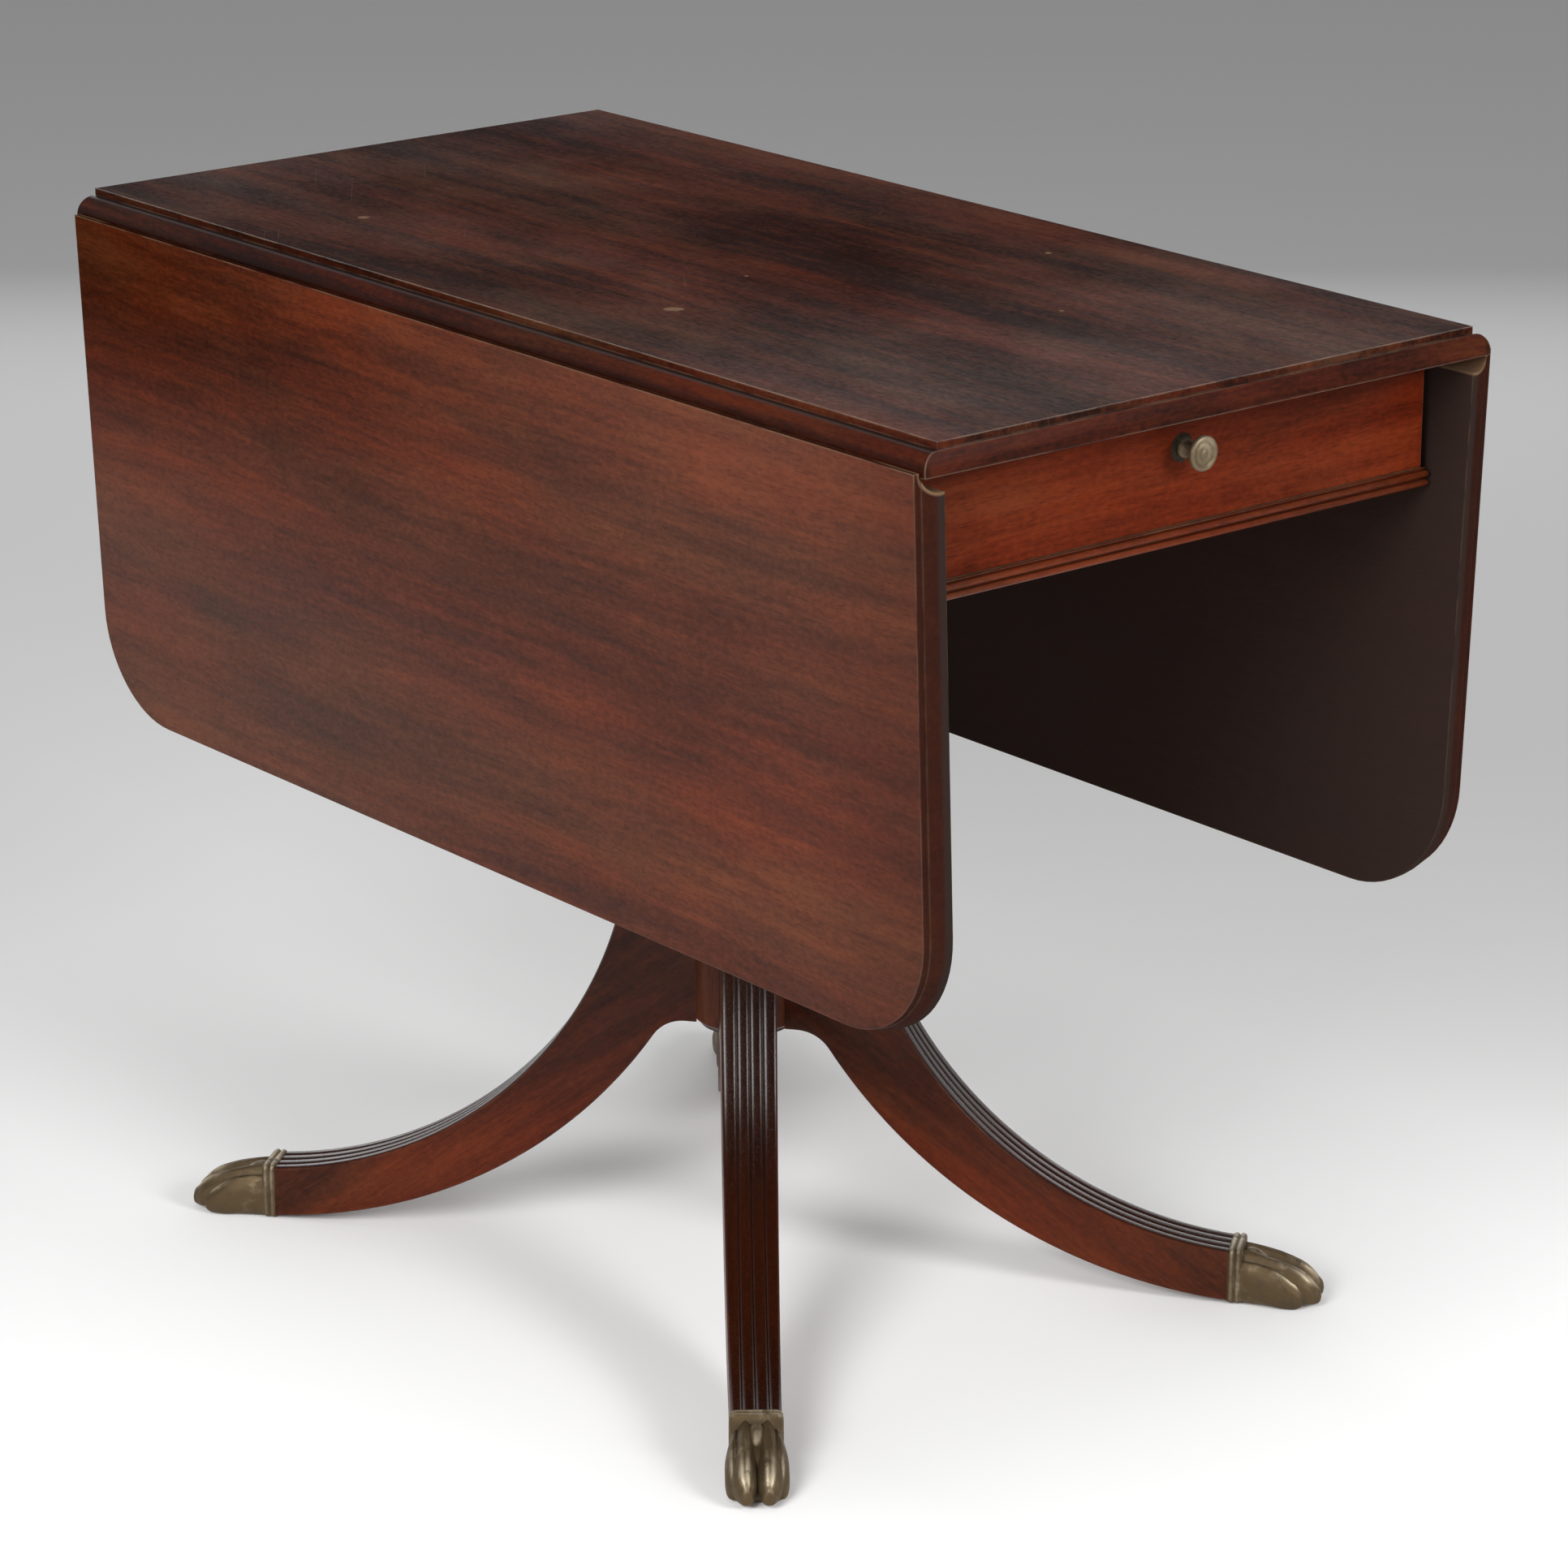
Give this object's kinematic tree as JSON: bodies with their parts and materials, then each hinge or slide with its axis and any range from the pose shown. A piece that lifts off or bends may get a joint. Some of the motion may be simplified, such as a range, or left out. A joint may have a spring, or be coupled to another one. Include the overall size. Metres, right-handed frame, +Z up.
{
  "type": "drop-leaf table",
  "caption": "Drop-leaf pedestal table with hinged leaves on rule joints, an end drawer with a brass knob, and reeded sabre legs that end in brass paw caps.",
  "frame": {"origin": "on the floor, under the centre of the top", "axes": "+X along the hinge lines towards the drawer, +Y across towards the far leaf, +Z up"},
  "size_m": [0.929, 0.532, 0.738],
  "materials": {
    "mahogany": "dark red-brown mahogany with a worn satin lacquer",
    "plain_wood": "unfinished brown secondary wood",
    "brass": "aged, dull olive brass",
    "iron": "dark iron, lightly worn"
  },
  "bodies": {
    "frame": {"centre_top": "mahogany", "inner_rail_near": "plain_wood", "outer_rail_near": "plain_wood", "kicker_near": "plain_wood", "bracket_pin_near": "iron", "hinge_fixed_plate_near_a": "iron", "hinge_pin_near_a": "iron", "hinge_fixed_plate_near_b": "iron", "hinge_pin_near_b": "iron", "inner_rail_far": "plain_wood", "outer_rail_far": "plain_wood", "kicker_far": "plain_wood", "bracket_pin_far": "iron", "hinge_fixed_plate_far_a": "iron", "hinge_pin_far_a": "iron", "hinge_fixed_plate_far_b": "iron", "hinge_pin_far_b": "iron", "back_rail": "mahogany", "drawer_stop": "plain_wood", "base_board": "plain_wood", "hinge_screws_top": "iron", "top_screws": "iron", "base_moulding_front": "mahogany", "base_moulding_back": "mahogany", "base_moulding_near": "mahogany", "base_moulding_far": "mahogany", "column_cleat": "plain_wood", "cleat_screws": "iron", "column": "mahogany", "hub_plate": "iron", "hub_screws": "iron", "leg_front": "mahogany", "paw_cap_front": "brass", "leg_left": "mahogany", "paw_cap_left": "brass", "leg_right": "mahogany", "paw_cap_right": "brass", "leg_rear": "mahogany", "paw_cap_rear": "brass"},
    "leaf_near": {"leaf_board_near": "mahogany", "hinge_leaf_plate_near_a": "iron", "hinge_leaf_plate_near_b": "iron", "hinge_screws_leaf_near": "iron"},
    "bracket_near": {"leaf_bracket_near": "plain_wood"},
    "leaf_far": {"leaf_board_far": "mahogany", "hinge_leaf_plate_far_a": "iron", "hinge_leaf_plate_far_b": "iron", "hinge_screws_leaf_far": "iron"},
    "bracket_far": {"leaf_bracket_far": "plain_wood"},
    "drawer": {"drawer_front": "mahogany", "drawer_side_near": "plain_wood", "drawer_side_far": "plain_wood", "drawer_back": "plain_wood", "drawer_bottom": "plain_wood", "knob_rosette": "brass", "drawer_knob": "brass", "knob_bolt": "brass"}
  },
  "joints": [
    {"name": "leaf_near_hinge", "type": "hinge", "parent": "frame", "child": "leaf_near", "pos_m": [0, -0.2285, 0.721], "axis": [-1, 0, 0], "range_deg": [0, 92.1]},
    {"name": "leaf_far_hinge", "type": "hinge", "parent": "frame", "child": "leaf_far", "pos_m": [0, 0.2285, 0.721], "axis": [1, 0, 0], "range_deg": [0, 92.1]},
    {"name": "drawer_slide", "type": "slide", "parent": "frame", "child": "drawer", "axis": [1, 0, 0], "range_m": [0, 0.3]},
    {"name": "bracket_near_pivot", "type": "hinge", "parent": "frame", "child": "bracket_near", "pos_m": [-0.0662, -0.2062, 0.69], "axis": [0, 0, -1], "range_deg": [0, 3]},
    {"name": "bracket_far_pivot", "type": "hinge", "parent": "frame", "child": "bracket_far", "pos_m": [-0.0662, 0.2062, 0.69], "axis": [0, 0, 1], "range_deg": [0, 3]}
  ]
}
